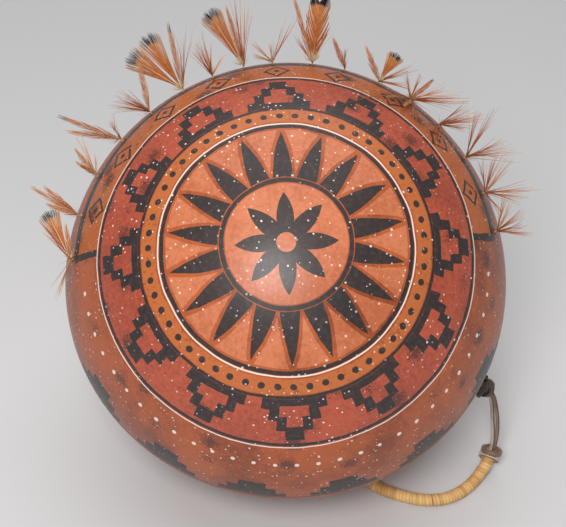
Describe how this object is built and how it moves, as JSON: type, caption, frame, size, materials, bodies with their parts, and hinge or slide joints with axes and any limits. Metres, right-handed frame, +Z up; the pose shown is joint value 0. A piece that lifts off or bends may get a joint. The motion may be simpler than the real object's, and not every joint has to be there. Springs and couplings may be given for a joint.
{
  "type": "painted gourd with feather crest and loop handle",
  "caption": "Round hard-shell gourd lying with its painted face up, a crest of feather tufts set in holes along the rim line, and a straw-wrapped loop handle on a suede lace.",
  "frame": {"origin": "middle of the flat spot on the gourd's underside that rests on the table", "axes": "+Z up; the painted face looks up and towards -Y; +X is the right side of the face, where the loop handle is"},
  "size_m": [0.2751, 0.2453, 0.2662],
  "materials": {
    "gourd_skin": "terracotta paint under satin varnish",
    "feather": "ginger feather with dark tips",
    "lace": "grey-taupe suede",
    "straw_wrap": "straw-coloured fibre, wound close"
  },
  "bodies": {
    "root": {"gourd": "gourd_skin", "tuft_01": "feather", "tuft_02": "feather", "tuft_03": "feather", "tuft_04": "feather", "tuft_05": "feather", "tuft_06": "feather", "tuft_07": "feather", "tuft_08": "feather", "tuft_09": "feather", "tuft_10": "feather", "tuft_11": "feather", "tuft_12": "feather", "tuft_13": "feather", "tuft_14": "feather", "tuft_15": "feather", "tuft_16": "feather", "tuft_17": "feather", "lace_strand_front": "lace", "lace_strand_back": "lace", "grip_wrap": "straw_wrap", "lashing_right": "lace", "lashing_under": "lace", "knot_right": "lace", "knot_under": "lace"}
  },
  "joints": []
}
